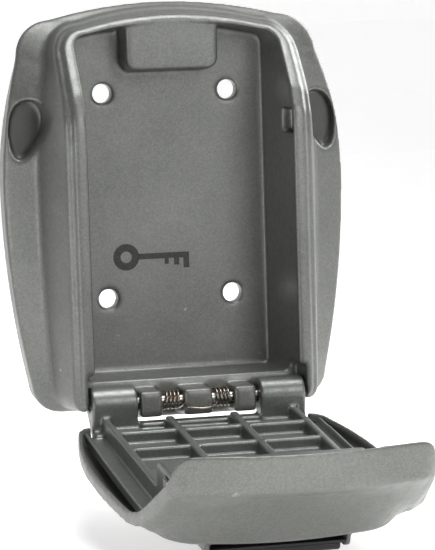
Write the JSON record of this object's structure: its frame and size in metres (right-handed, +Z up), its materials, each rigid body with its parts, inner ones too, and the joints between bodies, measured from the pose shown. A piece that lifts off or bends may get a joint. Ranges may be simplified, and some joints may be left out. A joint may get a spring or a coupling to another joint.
{
  "type": "key lock box",
  "caption": "Wall-mounted combination key box with a drop-down door: cast body, tray door with dials, bolts and sliding shutter.",
  "frame": {"origin": "centre of the back face, on the wall plane", "axes": "+X to the right, +Y into the wall, +Z up"},
  "size_m": [0.1144, 0.1628, 0.1639],
  "materials": {
    "body_paint": "fine metallic grey paint over die-cast zinc",
    "tray_paint": "fine metallic grey paint over die-cast zinc",
    "cover_paint": "fine metallic grey paint over die-cast zinc",
    "steel": "zinc-plated steel",
    "spring_steel": "drawn spring wire and strip",
    "dial_brass": "nickel-plated brass with filled figures",
    "black_plastic": "matte black moulded plastic"
  },
  "bodies": {
    "box": {"body": "body_paint", "hinge_pin": "steel", "hinge_spring": "spring_steel"},
    "door": {"door_tray": "tray_paint", "door_cover": "cover_paint", "tray_screw_1": "steel", "tray_screw_2": "steel", "tray_screw_3": "steel", "tray_screw_4": "steel", "dial_bracket": "steel", "dial_axle": "steel", "detent_spring": "spring_steel", "latch_spring": "spring_steel"},
    "shutter": {"dial_shutter": "black_plastic"},
    "release": {"latch_slide": "steel", "release_button": "black_plastic"},
    "left_bolt": {"bolt_left": "steel"},
    "right_bolt": {"bolt_right": "steel"},
    "reset": {"reset_lever": "steel"},
    "dial1": {"dial_1": "dial_brass", "cam_1": "steel"},
    "dial2": {"dial_2": "dial_brass", "cam_2": "steel"},
    "dial3": {"dial_3": "dial_brass", "cam_3": "steel"},
    "dial4": {"dial_4": "dial_brass", "cam_4": "steel"}
  },
  "joints": [
    {"name": "door_hinge", "type": "hinge", "parent": "box", "child": "door", "pos_m": [0, -0.0335, -0.0618], "axis": [-1, 0, 0], "range_deg": [0, 99.5], "deforming": ["hinge_spring"]},
    {"name": "shutter_slide", "type": "slide", "parent": "door", "child": "shutter", "axis": [0, 0.9863, 0.165], "range_m": [0, 0.035]},
    {"name": "release_slide", "type": "slide", "parent": "door", "child": "release", "axis": [0, -0.9863, -0.165], "range_m": [0, 0.0034], "deforming": ["latch_spring"]},
    {"name": "bolt_left_slide", "type": "slide", "parent": "door", "child": "left_bolt", "axis": [-1, 0, 0], "range_m": [0, 0.0034]},
    {"name": "bolt_right_slide", "type": "slide", "parent": "door", "child": "right_bolt", "axis": [1, 0, 0], "range_m": [0, 0.0034]},
    {"name": "reset_slide", "type": "slide", "parent": "door", "child": "reset", "axis": [1, 0, 0], "range_m": [0, 0.006]},
    {"name": "dial_1_turn", "type": "hinge", "parent": "door", "child": "dial1", "pos_m": [-0.0129, -0.11692, -0.08438], "axis": [1, 0, 0], "continuous": true},
    {"name": "dial_2_turn", "type": "hinge", "parent": "door", "child": "dial2", "pos_m": [-0.0043, -0.11692, -0.08438], "axis": [1, 0, 0], "continuous": true},
    {"name": "dial_3_turn", "type": "hinge", "parent": "door", "child": "dial3", "pos_m": [0.0043, -0.11692, -0.08438], "axis": [1, 0, 0], "continuous": true},
    {"name": "dial_4_turn", "type": "hinge", "parent": "door", "child": "dial4", "pos_m": [0.0129, -0.11692, -0.08438], "axis": [1, 0, 0], "continuous": true}
  ],
  "couplings": [
    {"joint": "bolt_left_slide", "follows": "release_slide", "ratio": 1},
    {"joint": "bolt_right_slide", "follows": "release_slide", "ratio": 1}
  ]
}
